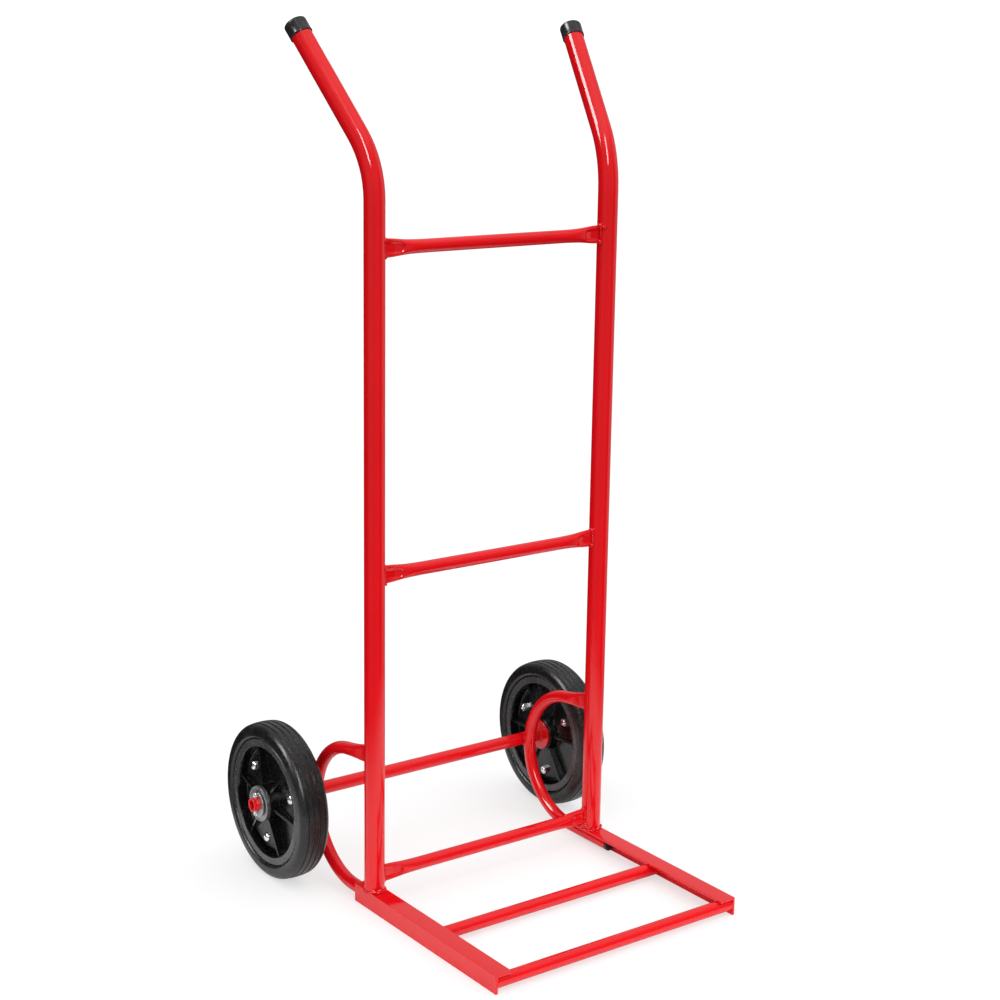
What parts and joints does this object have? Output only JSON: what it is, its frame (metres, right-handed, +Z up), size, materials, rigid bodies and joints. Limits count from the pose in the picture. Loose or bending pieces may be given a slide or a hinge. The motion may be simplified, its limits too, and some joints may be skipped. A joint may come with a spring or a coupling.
{
  "type": "hand truck",
  "caption": "Two-wheeled hand truck with a red welded tube frame, swept-back capped handles, a low open toe and solid tyred wheels on a fixed axle.",
  "frame": {"origin": "on the floor, under the centre of the whole truck's box", "axes": "+Z up, -Y towards the toe, +Y towards the wheels, +X to the right seen from the toe"},
  "size_m": [0.5086, 0.5204, 1.0613],
  "materials": {
    "frame_paint": "gloss red paint on welded steel",
    "cap_vinyl": "black satin vinyl",
    "tyre_rubber": "black solid rubber",
    "hub_plastic": "black moulded plastic, slightly glossy",
    "bush_steel": "dull grey turned steel",
    "zinc_steel": "bright zinc plate"
  },
  "bodies": {
    "frame": {"upright_left": "frame_paint", "upright_right": "frame_paint", "handle_cap_left": "cap_vinyl", "handle_cap_right": "cap_vinyl", "cross_bar_upper": "frame_paint", "cross_bar_middle": "frame_paint", "cross_bar_lower": "frame_paint", "toe_angle_left": "frame_paint", "toe_angle_right": "frame_paint", "toe_bar_middle": "frame_paint", "toe_bar_front": "frame_paint", "wheel_bracket_left": "frame_paint", "wheel_bracket_right": "frame_paint", "bracket_plug_left": "cap_vinyl", "bracket_plug_right": "cap_vinyl", "axle": "frame_paint", "axle_collar_left": "frame_paint", "axle_collar_right": "frame_paint", "axle_washer_left": "zinc_steel", "axle_washer_right": "zinc_steel", "split_pin_left": "zinc_steel", "split_pin_right": "zinc_steel"},
    "wheel_left": {"tyre_left": "tyre_rubber", "hub_outer_half_left": "hub_plastic", "hub_inner_half_left": "hub_plastic", "wheel_bush_left": "bush_steel", "hub_bolts_left": "zinc_steel", "hub_nuts_left": "zinc_steel"},
    "wheel_right": {"tyre_right": "tyre_rubber", "hub_outer_half_right": "hub_plastic", "hub_inner_half_right": "hub_plastic", "wheel_bush_right": "bush_steel", "hub_bolts_right": "zinc_steel", "hub_nuts_right": "zinc_steel"}
  },
  "joints": [
    {"name": "wheel_right_spin", "type": "hinge", "parent": "frame", "child": "wheel_right", "pos_m": [0.218, 0.16018, 0.1], "axis": [1, 0, 0], "continuous": true},
    {"name": "wheel_left_spin", "type": "hinge", "parent": "frame", "child": "wheel_left", "pos_m": [-0.218, 0.16018, 0.1], "axis": [1, 0, 0], "continuous": true}
  ]
}
